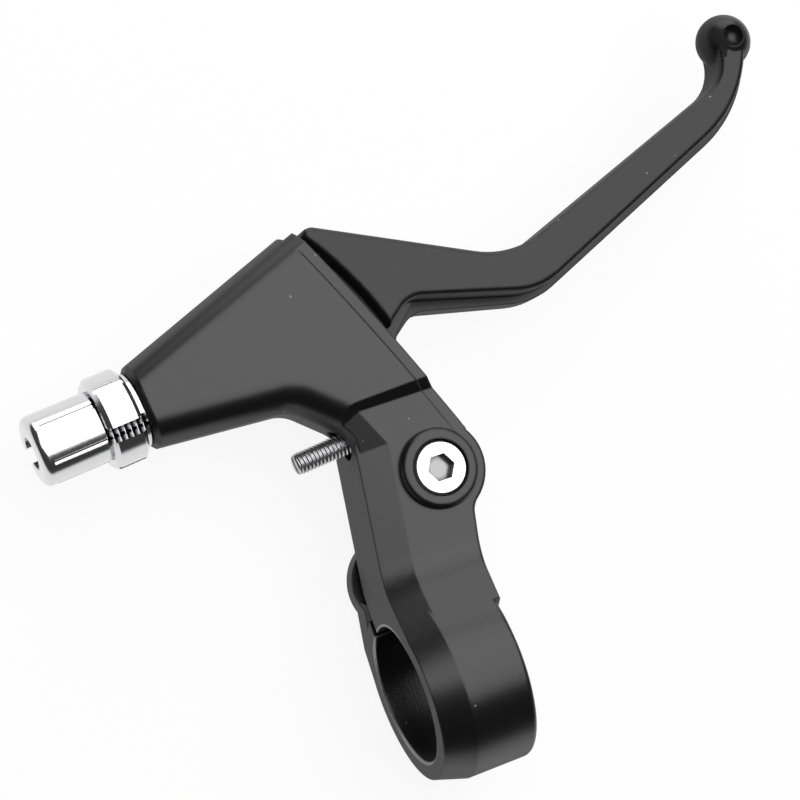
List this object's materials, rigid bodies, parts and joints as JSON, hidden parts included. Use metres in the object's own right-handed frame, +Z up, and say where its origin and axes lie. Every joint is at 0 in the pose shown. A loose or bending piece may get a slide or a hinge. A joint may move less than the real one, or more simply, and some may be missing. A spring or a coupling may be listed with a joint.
{
  "type": "bicycle brake lever",
  "caption": "Right-hand flat-bar bicycle brake lever with a split handlebar clamp, pivoting finger blade, slotted barrel adjuster with lock nut, and reach screw",
  "frame": {"origin": "middle of the handlebar clamp's bore, on the bar's axis and half way along the clamp's width", "axes": "+X along the handlebar towards its free end, +Y forward from the bar to the lever, +Z up along the pivot bolt"},
  "size_m": [0.1397, 0.1052, 0.0312],
  "materials": {
    "black_paint": "satin",
    "bright_steel": "polished",
    "polished_aluminium": "polished",
    "bearing_plastic": "matte"
  },
  "bodies": {
    "bracket_body": {"bracket": "black_paint", "pivot_bolt": "bright_steel", "pivot_nut": "bright_steel", "clamp_bolt": "bright_steel", "upper_washer": "bearing_plastic", "lower_washer": "bearing_plastic"},
    "lever_body": {"lever_blade": "black_paint", "pivot_bush": "bearing_plastic"},
    "adjuster_body": {"barrel_adjuster": "polished_aluminium"},
    "lock_nut_body": {"lock_nut": "polished_aluminium"},
    "reach_screw_body": {"reach_screw": "bright_steel"}
  },
  "joints": [
    {"name": "lever_pivot", "type": "hinge", "parent": "bracket_body", "child": "lever_body", "pos_m": [0.0079, 0.0318, 0], "axis": [0, 0, -1], "range_deg": [0, 30]},
    {"name": "adjuster_turn", "type": "hinge", "parent": "bracket_body", "child": "adjuster_body", "pos_m": [-0.0333, 0.0555, 0], "axis": [-0.9962, -0.0872, 0], "range_deg": [0, 1440]},
    {"name": "lock_nut_turn", "type": "hinge", "parent": "bracket_body", "child": "lock_nut_body", "pos_m": [-0.0333, 0.0555, 0], "axis": [-0.9962, -0.0872, 0], "range_deg": [0, 1440]},
    {"name": "reach_screw_turn", "type": "hinge", "parent": "bracket_body", "child": "reach_screw_body", "pos_m": [0.0024, 0.04085, 0], "axis": [-0.9962, -0.0872, 0], "range_deg": [0, 1080]}
  ]
}
